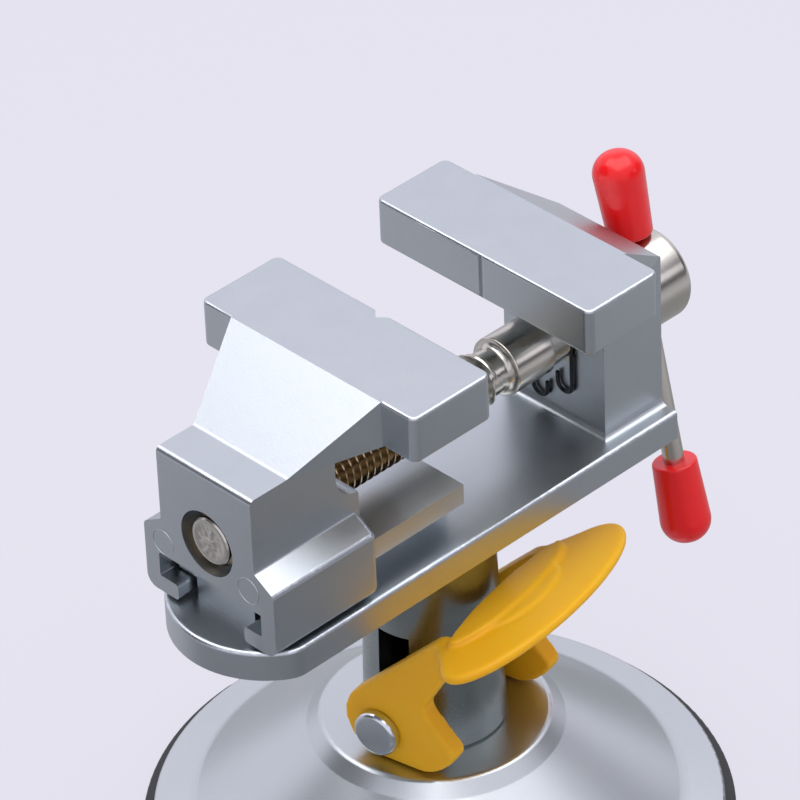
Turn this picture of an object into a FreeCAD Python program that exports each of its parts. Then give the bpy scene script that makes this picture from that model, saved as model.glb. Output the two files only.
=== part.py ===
import FreeCAD, Part
import math
import os

# Suction base vise. Millimetres, +Z up.
# The origin is on the bench, on the axis of the round suction base.
# +X runs from the moving jaw to the head of the lead screw.

V = FreeCAD.Vector

# ---- running gaps ----
shaft_gap = 0.05            # radial gap of a shaft that turns or slides in its hole
thread_gap = 0.05           # radial gap of a screw thread in its tapped hole
slide_gap = 0.35            # gap between the moving jaw's guide and the rail
loose_gap = 0.3             # gap between parts that move past each other without a fit

# ---- suction base ----
cup_radius = 41.5
cup_rim_height = 1.2
cup_boss_radius = 15.0
cup_boss_height = 5.8
cup_slope_radius = 33.5
cup_slope_round = 4.0
base_radius = 40.0
base_sheet = 1.5
base_band_radius = 34.3
base_band_drop = 1.5
base_skirt_radius = 18.0
base_skirt_drop = 12.9
base_bevel_drop = 1.9
plateau_radius = 16.0

# ---- post between base and bed ----
post_height = 32.8
post_top_radius = 9.0
post_foot_radius = 10.0
post_bore_radius = 7.2
post_crown = 9.8            # solid length at the top of the post
post_foot_bevel = 0.35
spigot_radius = 6.9
spigot_length = 5.1
spring_pocket_radius = 5.4
ledge_height = 1.8
ledge_foot = 0.2            # height of the ledge's under side below the plateau
nut_across_flats = 18.0
nut_height = 2.6
nut_washer_radius = 9.6
nut_washer_height = 0.6
pin_slot_half = 2.5         # half width of the upright slots the lever pin moves in
pin_slot_foot = 2.4
pin_slot_height = 16.5

# ---- lever and its pin, in the base's own directions ----
base_turn = 11.0            # how far the base is turned against the bed, degrees
lever_lock_turn = 60.0      # degrees the lever turns from released to locked
foot_flat = 4.7             # pin axis to the foot's flat when released
foot_lock_flat = 10.6       # pin axis to the foot's flat when locked
foot_steps = 4
foot_round = 2.5
foot_gap = 0.28             # foot to plateau
pin_radius = 1.6
pin_head_radius = 3.4
pin_head_height = 1.5
pin_head_round = 0.7
pin_tail_length = 1.1
push_nut_radius = 2.9
push_nut_height = 0.7
arm_outer = 13.2            # half width over both arms
arm_width = 2.9
lobe_back = 5.7
lobe_round = 5.4
lobe_upper_round = 5.0
arm_upper = 9.2             # height above the pin where the arm's upper edge crosses it
arm_pitch = 45.0
arm_under_pitch = 60.0
arm_under_reach = 2.9       # pin axis to the line of the arms' under edge
arm_end = 18.7              # pin axis to the arms' upper ends inside the pad
arm_end_round = 2.4
toe_reach = 9.3             # pin axis to the upper edge of the foot
toe_slope = 43.0            # direction of that edge's outward normal, degrees
pad_half_length = 20.2
pad_half_depth = 7.4
pad_centre = 17.0           # pin axis to the pad's middle, level
pad_rise = 20.2             # pin axis to the pad's middle, upright
pad_height = 1.5
pad_tilt = 18.0             # outer edge of the pad above its inner edge, degrees
pad_round = 0.6
pad_step = 0.45             # rise of each raised terrace
pad_step_margin = 0.7
upper_terrace = (13.5, 3.75, 4.6)   # half length, half depth, pad's middle to its middle
lower_terrace = (8.0, 3.45, 2.0)
gusset_root = 0.5           # how deep the gussets' inner ends sit in the arms
gusset_reach = 18.3         # half width over the gussets' outer ends
gusset_half_depth = 2.8     # half depth of those ends
gusset_below_top = 0.12     # the pad's top above the gussets' tops
gusset_top = (-7.8, 4.0)    # root's upper corners on the tilted pad, from its middle outward
gusset_foot = ((10.3, 12.0), (15.8, 19.1))      # root's lower corners, from the pin axis

# ---- stud, plate and spring inside the base ----
stud_radius = 3.4
stud_crown = 4.2            # stud above the pin axis
stud_neck_radius = 2.0
plate_radius = 12.0
plate_height = 1.6
plate_hole_gap = 0.05
cup_skin = 0.2              # clear height under the plate, in the cup's pocket
spring_radius = 4.5
spring_wire = 0.5           # radius of the wire
spring_turns = 4.0
spring_end_gap = 0.04

# ---- bed and fixed jaw ----
bed_height = 4.5
bed_half_width = 12.35
bed_rear = 36.0
bed_front = -43.2
bed_front_radius = 14.0
bed_front_round = 4.0       # rounding where the front end meets the sides
bed_round = 0.6
rail_front = -37.0
rail_rear = -1.7
web_half_width = 5.5
web_height = 3.35
flange_half_width = 8.9
flange_height = 3.15
jaw_top_above_bed = 32.7
jaw_half_width = 20.0
jaw_bar_height = 7.1
jaw_round = 0.45
jaw_corner_round = 1.2      # rounding of the jaw bars' upright edges
fixed_face = 11.5
fixed_bar_length = 13.3
fixed_groove_width = 1.0
fixed_groove_depth = 0.15
pillar_margin = 2.85        # bed's side to the pillar's side
pillar_foot_round = 1.1
slope_half_width = 14.0     # half width of both jaws' slopes where they meet the jaw bars
slope_drop = 8.3

# ---- moving jaw ----
jaw_opening = 18.1
moving_bar_length = 14.2
moving_groove_width = 3.0
moving_groove_depth = 1.4
slope_length = 12.2
nose_length = 6.7           # level top in front of the slope
block_half_width = 8.85
shoulder_height = 12.8      # bed top to the upper edge of the shoulder
shoulder_drop = 2.1
skirt_inset = 0.05          # bed's side to the outside of the skirts
skirt_gap = 0.5             # skirt to bed
skirt_wall = 2.6
lip_half_gap = 6.3          # half the gap between the two lips
lip_clear = 0.35
block_tail = 0.1            # block's rear face in front of the jaw bar
skirt_tail = 0.1            # skirt's rear end in front of the block's
skirt_tail_round = 1.0
skirt_foot_round = 1.8      # outer lower corners of the guide
shoulder_round = 1.0
lip_round = 0.6
arch_radius = 4.2
arch_floor = 15.9           # bed top to the floor of the arch
arch_depth = 3.9
block_round = 0.8

# ---- lead screw ----
screw_height = 13.2         # bed top to the screw's axis
thread_radius = 4.0
thread_pitch = 1.25
thread_depth = 0.72
screw_tip_recess = 0.5
tip_chamfer = 0.6
mouth_radius = 4.85         # wide mouth of the tapped hole at the front
mouth_depth = 4.5
shank_radius = 4.35
shank_front = 2.2           # fixed jaw face to the front end of the smooth shank
neck_radius = 3.2
neck_length = 1.95
neck_flare = 1.1            # hollow rounding from the neck up to the shank
collar_back = 3.9           # pillar's face to the rear end of the shank's front length
step_radius = 3.9           # between that length and the clip
head_radius = 6.8
head_length = 9.2
head_round = 1.2
head_gap = 0.3              # head to the pillar
clip_wire = 0.3             # radius of the wire
clip_groove_depth = 0.4
clip_gap = 0.1              # clip to the pillar's face
clip_leg = 3.7              # each leg of the clip to the screw's upright middle plane
hook_radius = 1.35
hook_tail = 1.3
near_hook_drop = 7.1        # screw axis to the middle of the hook's bend
far_hook_drop = 9.8

# ---- tommy bar ----
bar_radius = 1.5
bar_lean = 12.8             # degrees from upright
bar_slot = 5.35              # bar axis to the front face of the screw head
cap_length = 12.6
cap_mouth_radius = 3.2
cap_end_radius = 3.8
cap_socket_depth = 9.0
bar_free_play = 21.2        # how far the bar slides through the head

# ---- bed screw, from inside the post up into the bed ----
bed_screw_radius = 2.5
bed_screw_bite = 3.6
bed_screw_head_radius = 4.2
bed_screw_head_height = 3.4
bed_screw_socket = 2.0      # half across flats of the hexagon socket
bed_screw_socket_depth = 2.0
lock_washer_height = 1.1
lock_washer_radius = 4.3
lock_washer_slit = 0.9

# ---- places worked out from the sizes above ----
base_top = cup_rim_height + base_sheet
plateau = base_top + base_band_drop + base_skirt_drop + base_bevel_drop
bed_foot = plateau + post_height
bed_top = bed_foot + bed_height
jaw_top = bed_top + jaw_top_above_bed
screw_axis = bed_top + screw_height
pin_axis = plateau + foot_flat + foot_gap
lock_radians = math.radians(lever_lock_turn)
lift_ratio = (foot_lock_flat - foot_flat) / lock_radians
stud_lift = lift_ratio * lock_radians
fixed_rear = fixed_face + fixed_bar_length
pillar_rear = bed_rear
pillar_half_width = bed_half_width - pillar_margin
skirt_half_width = bed_half_width - skirt_inset
moving_face = fixed_face - jaw_opening
moving_front = moving_face - moving_bar_length
slope_front = moving_front - slope_length
nose_front = slope_front - nose_length
block_rear = moving_front + block_tail
flange_foot = bed_top + web_height
flange_top = flange_foot + flange_height
plate_top = cup_boss_height
plate_foot = plate_top - plate_height
ledge_bottom = plateau - ledge_foot
ledge_top = ledge_bottom + ledge_height
head_front = pillar_rear + head_gap
bar_x = head_front + bar_slot
clip_x = fixed_rear - clip_gap - clip_wire
clip_ring = step_radius - clip_groove_depth + clip_wire
cap_reach = head_radius + loose_gap
lower_cap_reach = cap_reach + bar_free_play


def plan(height):
    """Place outline points (x, y) level at one height."""
    return lambda u, v: V(u, v, height)


def side(y):
    """Place outline points (x, z) upright, along the vise."""
    return lambda u, v: V(u, y, v)


def across(x):
    """Place outline points (y, z) upright, across the vise."""
    return lambda u, v: V(x, u, v)


def rounded_face(corners, place):
    """Flat face inside corners (u, v, radius), each corner rounded by its radius."""
    entries = []
    exits = []
    middles = []
    count = len(corners)
    for index, (u, v, radius) in enumerate(corners):
        corner = V(u, v, 0)
        before = V(corners[index - 1][0], corners[index - 1][1], 0) - corner
        after = V(corners[(index + 1) % count][0], corners[(index + 1) % count][1], 0) - corner
        before.normalize()
        after.normalize()
        if radius == 0:
            entries.append(corner)
            exits.append(corner)
            middles.append(None)
            continue
        half = before.getAngle(after) / 2
        cut = radius / math.tan(half)
        inward = before + after
        inward.normalize()
        centre = corner + inward * (radius / math.sin(half))
        entries.append(corner + before * cut)
        exits.append(corner + after * cut)
        middles.append(centre - inward * radius)
    edges = []
    for index in range(count):
        start = place(entries[index].x, entries[index].y)
        end = place(exits[index].x, exits[index].y)
        if middles[index] is not None:
            middle = place(middles[index].x, middles[index].y)
            edges.append(Part.Arc(start, middle, end).toShape())
        following = entries[(index + 1) % count]
        target = place(following.x, following.y)
        if end.distanceToPoint(target) > 1e-6:
            edges.append(Part.makeLine(end, target))
    return Part.Face(Part.Wire(edges))


def turned(corners):
    """Solid of revolution about Z from corners (radius, height, rounding)."""
    return rounded_face(corners, side(0)).revolve(V(0, 0, 0), V(0, 0, 1), 360)


def turned_along_x(corners, height):
    """Solid of revolution about a line along X from corners (x, radius, rounding)."""
    face = rounded_face(corners, lambda u, v: V(u, 0, height + v))
    return face.revolve(V(0, 0, height), V(1, 0, 0), 360)


def box(x_low, x_high, y_low, y_high, z_low, z_high):
    """Box between two corners."""
    return Part.makeBox(x_high - x_low, y_high - y_low, z_high - z_low, V(x_low, y_low, z_low))


def offset_down(points, distance):
    """Shift an open outline of (radius, height) points inward by a sheet thickness."""
    lines = []
    for (r0, z0), (r1, z1) in zip(points, points[1:]):
        length = math.hypot(r1 - r0, z1 - z0)
        normal = ((z1 - z0) / length, -(r1 - r0) / length)
        lines.append((normal, normal[0] * r0 + normal[1] * z0 + distance))
    shifted = [(points[0][0], points[0][1] - distance)]
    for (n0, d0), (n1, d1) in zip(lines, lines[1:]):
        det = n0[0] * n1[1] - n0[1] * n1[0]
        shifted.append(((d0 * n1[1] - n0[1] * d1) / det, (n0[0] * d1 - d0 * n1[0]) / det))
    return shifted


def turn_base(shape):
    """Turn a piece built in the base's own directions to its place under the bed."""
    shape.rotate(V(0, 0, 0), V(0, 0, 1), base_turn)
    return shape


# ---- suction base ----

def suction_cup():
    """Flat rubber disc with a raised middle that holds the plate in a pocket."""
    pocket = plate_foot - cup_skin
    return turned([
        (0, 0, 0),
        (cup_radius, 0, 0.3),
        (cup_radius, cup_rim_height, 0.4),
        (cup_slope_radius, cup_rim_height, cup_slope_round),
        (cup_boss_radius, cup_boss_height, 1.0),
        (plate_radius + loose_gap, cup_boss_height, 0),
        (plate_radius + loose_gap, pocket, 0),
        (0, pocket, 0),
    ])


def base_cap():
    """Pressed dish over the cup, with a level plateau for the post and the lever's feet."""
    outer = [
        (spigot_radius + shaft_gap, plateau),
        (plateau_radius, plateau),
        (base_skirt_radius, plateau - base_bevel_drop),
        (base_band_radius, base_top + base_band_drop),
        (base_radius, base_top),
    ]
    inner = offset_down(outer, base_sheet)
    corners = [(outer[0][0], outer[0][1], 0)]
    for (radius, height), rounding in zip(outer[1:4], (1.0, 1.6, 4.0)):
        corners.append((radius, height, rounding))
    corners.append((base_radius, base_top, 0.5))
    corners.append((base_radius, cup_rim_height, 0.2))
    corners.append((base_radius - base_sheet, cup_rim_height, 0.2))
    for (radius, height), rounding in zip(reversed(inner[1:4]), (2.5, 0.8, 0.4)):
        corners.append((radius, height, rounding))
    corners.append((outer[0][0], plateau - base_sheet, 0))
    return turned(corners)


def post_column():
    """Hollow drafted post with a spigot below, a ledge for the spring and a pin slot."""
    crown = bed_foot - post_crown
    body = turned([
        (bed_screw_radius + loose_gap, bed_foot, 0),
        (post_top_radius, bed_foot, 0),
        (post_foot_radius, plateau + post_foot_bevel, 0),
        (post_foot_radius - post_foot_bevel, plateau, 0),
        (spigot_radius, plateau, 0),
        (spigot_radius, plateau - spigot_length, 0.4),
        (spring_pocket_radius, plateau - spigot_length, 0),
        (spring_pocket_radius, ledge_bottom, 0),
        (stud_radius + loose_gap, ledge_bottom, 0),
        (stud_radius + loose_gap, ledge_top, 0),
        (post_bore_radius, ledge_top, 0),
        (post_bore_radius, crown, 1.0),
        (bed_screw_radius + loose_gap, crown, 0),
    ])
    reach = post_foot_radius + 1.0
    slot_low = plateau + pin_slot_foot
    slot = box(-reach, reach, -pin_slot_half, pin_slot_half, slot_low, slot_low + pin_slot_height)
    return turn_base(body.cut(slot))


def post_nut():
    """Thin hexagon nut that clamps the base cap to the post's spigot."""
    top = plateau - base_sheet - nut_washer_height
    corner_radius = nut_across_flats / 2 / math.cos(math.radians(30))
    corners = []
    for step in range(6):
        angle = math.radians(60 * step)
        corners.append((corner_radius * math.cos(angle), corner_radius * math.sin(angle), 0))
    nut = rounded_face(corners, plan(top - nut_height)).extrude(V(0, 0, nut_height))
    hole = Part.makeCylinder(spigot_radius + thread_gap, nut_height, V(0, 0, top - nut_height))
    return nut.cut(hole)


def nut_washer():
    """Flat washer between the nut and the base cap."""
    low = plateau - base_sheet - nut_washer_height
    disc = Part.makeCylinder(nut_washer_radius, nut_washer_height, V(0, 0, low))
    hole = Part.makeCylinder(spigot_radius + 2 * thread_gap, nut_washer_height, V(0, 0, low))
    return disc.cut(hole)


# ---- stud, plate, spring, pin ----

def pull_stud():
    """Upright stud: eye for the lever pin above, shoulder and neck for the plate below."""
    body = turned([
        (0, plate_foot, 0),
        (stud_neck_radius, plate_foot, 0.2),
        (stud_neck_radius, plate_top, 0),
        (stud_radius, plate_top, 0),
        (stud_radius, pin_axis + stud_crown, 0.8),
        (0, pin_axis + stud_crown, 0),
    ])
    reach = 2 * stud_radius
    eye = Part.makeCylinder(pin_radius, 2 * reach, V(-reach, 0, pin_axis), V(1, 0, 0))
    return turn_base(body.cut(eye))


def stud_plate():
    """Steel plate that spreads the stud's pull over the rubber."""
    disc = turned([
        (stud_neck_radius + plate_hole_gap, plate_foot, 0),
        (plate_radius, plate_foot, 0.3),
        (plate_radius, plate_top, 0.3),
        (stud_neck_radius + plate_hole_gap, plate_top, 0),
    ])
    return disc


def return_spring():
    """Coil spring that pushes the plate and the cup's middle down again."""
    low = plate_top + spring_end_gap + spring_wire
    high = ledge_bottom - spring_end_gap - spring_wire
    pitch = (high - low) / spring_turns
    helix = Part.makeHelix(pitch, high - low, spring_radius)
    section = Part.Wire(Part.makeCircle(spring_wire, V(spring_radius, 0, 0), V(0, 1, 0)))
    coil = Part.Wire(helix.Edges).makePipeShell([section], True, True)
    coil.translate(V(0, 0, low))
    return coil


def lever_pin():
    """Pin along the base's own X, with a domed head at its front end."""
    head_seat = -arm_outer - loose_gap / 2
    tail = arm_outer + loose_gap / 2 + push_nut_height + pin_tail_length
    corners = [
        (head_seat - pin_head_height, 0, 0),
        (head_seat - pin_head_height, pin_head_radius, pin_head_round),
        (head_seat, pin_head_radius, 0.15),
        (head_seat, pin_radius, 0),
        (tail, pin_radius, 0.35),
        (tail, 0, 0),
    ]
    return turn_base(turned_along_x(corners, pin_axis))


def pin_push_nut():
    """Sprung steel washer pressed on the pin's far end."""
    near = arm_outer + loose_gap / 2
    corners = [
        (near, pin_radius, 0),
        (near, push_nut_radius, 0.1),
        (near + push_nut_height, push_nut_radius - push_nut_height / 2, 0.2),
        (near + push_nut_height, pin_radius, 0),
    ]
    return turn_base(turned_along_x(corners, pin_axis))


# ---- cam lever ----

def crossing(line_a, line_b):
    """Point where two lines meet, each given by its normal's angle and its distance."""
    angle_a, distance_a = line_a
    angle_b, distance_b = line_b
    det = math.sin(angle_b - angle_a)
    across_pin = (distance_a * math.sin(angle_b) - distance_b * math.sin(angle_a)) / det
    upward = (distance_b * math.cos(angle_a) - distance_a * math.cos(angle_b)) / det
    return across_pin, upward


def foot_lines():
    """Lines that wrap the foot. Their distance from the pin grows evenly as the lever turns."""
    lines = []
    for step in range(foot_steps + 1):
        turn = lock_radians * step / foot_steps
        lines.append((turn - math.pi / 2, foot_flat + lift_ratio * turn))
    return lines


def arm_outline():
    """Corners (away from the pin, upward, rounding) of one lever arm with its cam foot."""
    lines = foot_lines()
    toe = (math.radians(toe_slope), toe_reach)
    under = (math.radians(arm_under_pitch - 90), arm_under_reach)
    upper = (math.radians(arm_pitch + 90), arm_upper * math.cos(math.radians(arm_pitch)))
    end = (math.pi / 2, arm_end)
    corners = [(-lobe_back, -foot_flat, lobe_round)]
    for line_a, line_b in zip(lines, lines[1:]):
        corners.append((*crossing(line_a, line_b), foot_round))
    corners.append((*crossing(lines[-1], toe), 1.0))
    corners.append((*crossing(toe, under), 1.4))
    corners.append((*crossing(under, end), 0))
    corners.append((*crossing(end, upper), arm_end_round))
    corners.append((-lobe_back, arm_upper - lobe_back, lobe_upper_round))
    return corners


def pad_oval(half_length, half_depth, inward, height):
    """Oval slab of the thumb pad, before the pad is tilted."""
    oval = Part.Ellipse(V(0, inward, 0), half_length, half_depth)
    return Part.Face(Part.Wire(oval.toShape())).extrude(V(0, 0, height))


def tilt_pad(shape):
    """Move a piece built on the flat pad's middle to the pad's tilted place."""
    shape.rotate(V(0, 0, 0), V(1, 0, 0), -pad_tilt)
    shape.translate(V(0, -pad_centre, pin_axis + pad_rise))
    return shape


def thumb_pad():
    """Tilted oval pad with two raised terraces towards its inner edge."""
    pad = pad_oval(pad_half_length, pad_half_depth, 0, pad_height)
    pad = pad.makeFillet(pad_round, pad.Edges)
    inside = pad_oval(pad_half_length - pad_step_margin, pad_half_depth - pad_step_margin, 0,
                      2 * pad_height)
    for step, terrace in enumerate((lower_terrace, upper_terrace)):
        height = pad_height + pad_step * (step + 1)
        pad = pad.fuse(pad_oval(*terrace, height).common(inside))
    pad.translate(V(0, 0, -pad_height / 2))
    return tilt_pad(pad)


def pad_gusset(side_sign):
    """Web that carries one arm's outer face on into the pad's end."""
    root_x = side_sign * (arm_outer - gusset_root)
    top = pad_height / 2 - gusset_below_top
    low = pad_round / 4 - pad_height / 2
    upper = [tilt_pad(Part.Vertex(root_x, -outward, top)).Point for outward in gusset_top]
    lower = [V(root_x, -away, pin_axis + up) for away, up in gusset_foot]
    root = [upper[0], lower[0], lower[1], upper[1]]
    corners = [(1, top), (1, low), (-1, low), (-1, top)]
    end_x = side_sign * gusset_reach
    end = Part.makePolygon([V(end_x, inward * gusset_half_depth, z)
                            for inward, z in [*corners, corners[0]]])
    return Part.makeLoft([Part.makePolygon([*root, root[0]]), tilt_pad(end)], True, True)


def cam_lever():
    """Two cam arms joined by the thumb pad."""
    arms = []
    corners = arm_outline()
    reach = 2 * arm_outer
    hole = Part.makeCylinder(pin_radius + shaft_gap, 2 * reach, V(-reach, 0, pin_axis), V(1, 0, 0))
    for start in (-arm_outer, arm_outer - arm_width):
        face = rounded_face(corners, lambda u, v, x=start: V(x, -u, pin_axis + v))
        arms.append(face.extrude(V(arm_width, 0, 0)).cut(hole))
    return turn_base(thumb_pad().fuse([*arms, pad_gusset(-1), pad_gusset(1)]))


# ---- bed with rail, pillar and fixed jaw ----

def jaw_slope(foot_x, foot_half_width, bar_x_end):
    """Wedge that runs from a jaw bar down to the narrow block that carries it."""
    top = jaw_top
    low = jaw_top - jaw_bar_height
    tip = jaw_top - slope_drop
    a1 = V(bar_x_end, -slope_half_width, top)
    a2 = V(bar_x_end, slope_half_width, top)
    b1 = V(bar_x_end, -slope_half_width, low)
    b2 = V(bar_x_end, slope_half_width, low)
    c1 = V(foot_x, -foot_half_width, tip)
    c2 = V(foot_x, foot_half_width, tip)
    loops = [(a1, a2, c2, c1), (b1, c1, c2, b2), (a1, b1, b2, a2), (a1, c1, b1), (a2, b2, c2)]
    faces = [Part.Face(Part.makePolygon([*loop, loop[0]])) for loop in loops]
    wedge = Part.Solid(Part.Shell(faces))
    if wedge.Volume < 0:
        wedge.reverse()
    return wedge


def jaw_bar(x_low, x_high, groove_x, groove_in, groove_width, groove_depth):
    """Jaw bar with rounded edges and an upright V groove in its clamping face."""
    low = jaw_top - jaw_bar_height
    bar = box(x_low, x_high, -jaw_half_width, jaw_half_width, low, jaw_top)
    bar = bar.makeFillet(jaw_corner_round, [edge for edge in bar.Edges if edge.BoundBox.ZLength > 1])
    bar = bar.makeFillet(jaw_round, edges_at_height(bar, low) + edges_at_height(bar, jaw_top))
    plain = (x_low, x_low + jaw_round) if groove_in < 0 else (x_high - jaw_round, x_high)
    bar = bar.fuse(box(*plain, -slope_half_width, slope_half_width, low, jaw_top))
    half = groove_width / 2
    corners = [
        (groove_x, -half, 0),
        (groove_x + groove_in * groove_depth, 0, 0),
        (groove_x, half, 0),
        (groove_x - groove_in, half, 0),
        (groove_x - groove_in, -half, 0),
    ]
    groove = rounded_face(corners, plan(low - 1)).extrude(V(0, 0, jaw_bar_height + 2))
    return bar.cut(groove)


def bed_plate():
    """Long flat bed with a rounded front end."""
    dx = math.sqrt(bed_front_radius ** 2 - bed_half_width ** 2)
    corner_x = bed_front + bed_front_radius - dx
    left = V(corner_x, bed_half_width, bed_foot)
    right = V(corner_x, -bed_half_width, bed_foot)
    rear_left = V(bed_rear, bed_half_width, bed_foot)
    rear_right = V(bed_rear, -bed_half_width, bed_foot)
    edges = [
        Part.Arc(right, V(bed_front, 0, bed_foot), left).toShape(),
        Part.makeLine(left, rear_left),
        Part.makeLine(rear_left, rear_right),
        Part.makeLine(rear_right, right),
    ]
    plate = Part.Face(Part.Wire(edges)).extrude(V(0, 0, bed_height))
    corners = [edge for edge in plate.Edges
               if abs(edge.BoundBox.XMin - corner_x) < 0.01 and edge.BoundBox.ZLength > 1]
    return plate.makeFillet(bed_front_round, corners)


def edges_at_height(shape, height):
    """Edges of a shape that lie level at one height."""
    chosen = []
    for edge in shape.Edges:
        bounds = edge.BoundBox
        if abs(bounds.ZMin - height) < 0.01 and abs(bounds.ZMax - height) < 0.01:
            chosen.append(edge)
    return chosen


def pillar_foot_edges(shape):
    """Level edges on the bed's top face that run round the pillar's foot."""
    chosen = []
    for edge in edges_at_height(shape, bed_top):
        bounds = edge.BoundBox
        inside = bounds.YMin > -pillar_half_width - 0.1 and bounds.YMax < pillar_half_width + 0.1
        if inside and bounds.XMin > fixed_rear - 0.1 and bounds.XMin < pillar_rear - 0.1:
            chosen.append(edge)
    return chosen


def bed_and_fixed_jaw():
    """One casting: bed, T-shaped rail, pillar and fixed jaw."""
    tip = jaw_top - slope_drop
    plate = bed_plate()
    front_and_sides = [edge for edge in edges_at_height(plate, bed_top)
                       if edge.BoundBox.XMin < bed_rear - bed_round]
    plate = plate.makeFillet(bed_round, front_and_sides)
    pillar_corners = [
        (fixed_rear, bed_foot + 1, 0),
        (pillar_rear, bed_foot + 1, 0),
        (pillar_rear, tip, 0),
        (fixed_rear, jaw_top, 0),
    ]
    pillar = rounded_face(pillar_corners, side(-pillar_half_width))
    pillar = pillar.extrude(V(0, 2 * pillar_half_width, 0))
    casting = plate.fuse(pillar)
    casting = casting.makeFillet(pillar_foot_round, pillar_foot_edges(casting))
    web = box(rail_front, rail_rear, -web_half_width, web_half_width, bed_top - 1, flange_foot)
    flange = box(rail_front, rail_rear, -flange_half_width, flange_half_width, flange_foot,
                 flange_top)
    slope = jaw_slope(pillar_rear, pillar_half_width, fixed_rear)
    bar = jaw_bar(fixed_face, fixed_rear, fixed_face, 1, fixed_groove_width, fixed_groove_depth)
    casting = casting.fuse([web, flange, slope, bar])
    bore = Part.makeCylinder(shank_radius + shaft_gap, pillar_rear - fixed_rear + 2,
                             V(fixed_rear - 1, 0, screw_axis), V(1, 0, 0))
    tapped = Part.makeCylinder(bed_screw_radius + thread_gap, bed_screw_bite + thread_gap,
                               V(0, 0, bed_foot))
    return casting.cut(bore).cut(tapped).removeSplitter()


# ---- moving jaw ----

def carriage_outline():
    """Section across the guide: shoulders, skirts and the lips that hook under the rail."""
    low = bed_top + skirt_gap
    lip_top = flange_foot - lip_clear
    roof = flange_top + slide_gap
    slot = skirt_half_width - skirt_wall
    shoulder = bed_top + shoulder_height
    right = [
        (lip_half_gap, low, lip_round),
        (skirt_half_width, low, skirt_foot_round),
        (skirt_half_width, shoulder - shoulder_drop, shoulder_round),
        (block_half_width, shoulder, 0.4),
        (block_half_width, shoulder + 2, 0),
    ]
    inner = [
        (slot, roof, 0.5),
        (slot, lip_top, 0.3),
        (lip_half_gap, lip_top, lip_round),
    ]
    left = [(-u, v, radius) for u, v, radius in reversed(right)]
    inner_left = [(-u, v, radius) for u, v, radius in reversed(inner)]
    return right + left + inner_left + inner


def moving_jaw():
    """One casting: jaw bar, slope, nose block with the tapped hole, and the guide."""
    tip = jaw_top - slope_drop
    shoulder = bed_top + shoulder_height
    arch_back = block_rear - arch_depth
    arch_top = bed_top + arch_floor
    block_corners = [
        (nose_front, shoulder - 1, 0),
        (block_rear, shoulder - 1, 0),
        (block_rear, arch_top, 0.4),
        (arch_back, arch_top, arch_radius - 0.4),
        (arch_back, jaw_top - jaw_bar_height, 0),
        (moving_front, jaw_top - jaw_bar_height, 0),
        (moving_front, jaw_top, 0),
        (slope_front, tip, 1.0),
        (nose_front, tip, block_round),
    ]
    block = rounded_face(block_corners, side(-block_half_width))
    block = block.extrude(V(0, 2 * block_half_width, 0))
    slope = jaw_slope(slope_front, block_half_width, moving_front)
    bar = jaw_bar(moving_front, moving_face, moving_face, -1, moving_groove_width,
                  moving_groove_depth)
    guide = rounded_face(carriage_outline(), across(nose_front))
    guide = guide.extrude(V(block_rear - skirt_tail - nose_front, 0, 0))
    tails = [edge for edge in guide.Edges
             if edge.BoundBox.XMin > nose_front + 1 and edge.BoundBox.ZLength > 1
             and abs(edge.BoundBox.YMax * edge.BoundBox.YMin) > skirt_half_width ** 2 - 0.1]
    guide = guide.makeFillet(skirt_tail_round, tails)
    jaw = guide.fuse([block, slope, bar])
    hole = Part.makeCylinder(thread_radius + thread_gap, block_rear - nose_front + 2,
                             V(nose_front - 1, 0, screw_axis), V(1, 0, 0))
    mouth = Part.makeCylinder(mouth_radius, mouth_depth + 1, V(nose_front - 1, 0, screw_axis),
                              V(1, 0, 0))
    return jaw.cut(hole).cut(mouth).removeSplitter()


# ---- lead screw and clip ----

def lead_screw():
    """Turned screw: thread, neck, smooth shank with a clip groove, and a drilled head."""
    tip = nose_front + screw_tip_recess
    shank_start = fixed_face + shank_front
    thread_end = shank_start - neck_length
    root = thread_radius - thread_depth
    corners = [(tip, 0, 0), (tip, thread_radius - tip_chamfer, 0)]
    start = tip + tip_chamfer
    corners.append((start, thread_radius, 0))
    turns = int((thread_end - start) / thread_pitch)
    for turn in range(turns):
        crest = start + turn * thread_pitch
        corners.append((crest + 0.25 * thread_pitch, thread_radius, 0))
        corners.append((crest + 0.6 * thread_pitch, root, 0))
        corners.append((crest + 0.95 * thread_pitch, thread_radius, 0))
    groove_root = step_radius - clip_groove_depth
    collar_end = fixed_rear - collar_back
    head_end = head_front + head_length
    corners += [
        (thread_end, thread_radius, 0),
        (thread_end, neck_radius, 0),
        (shank_start, neck_radius, neck_flare),
        (shank_start, shank_radius, 0.4),
        (collar_end, shank_radius, 0.3),
        (collar_end, step_radius, 0),
        (clip_x - clip_wire, step_radius, 0),
        (clip_x - clip_wire, groove_root, 0),
        (clip_x + clip_wire, groove_root, 0),
        (clip_x + clip_wire, shank_radius, 0),
        (head_front, shank_radius, 0),
        (head_front, head_radius, 0.4),
        (head_end, head_radius, head_round),
        (head_end, 0, 0),
    ]
    body = turned_along_x(corners, screw_axis)
    hole = Part.makeCylinder(bar_radius + shaft_gap, 4 * head_radius, V(bar_x, 0, -2 * head_radius))
    hole.rotate(V(bar_x, 0, 0), V(1, 0, 0), -bar_lean)
    hole.translate(V(0, 0, screw_axis))
    return body.cut(hole)


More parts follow.
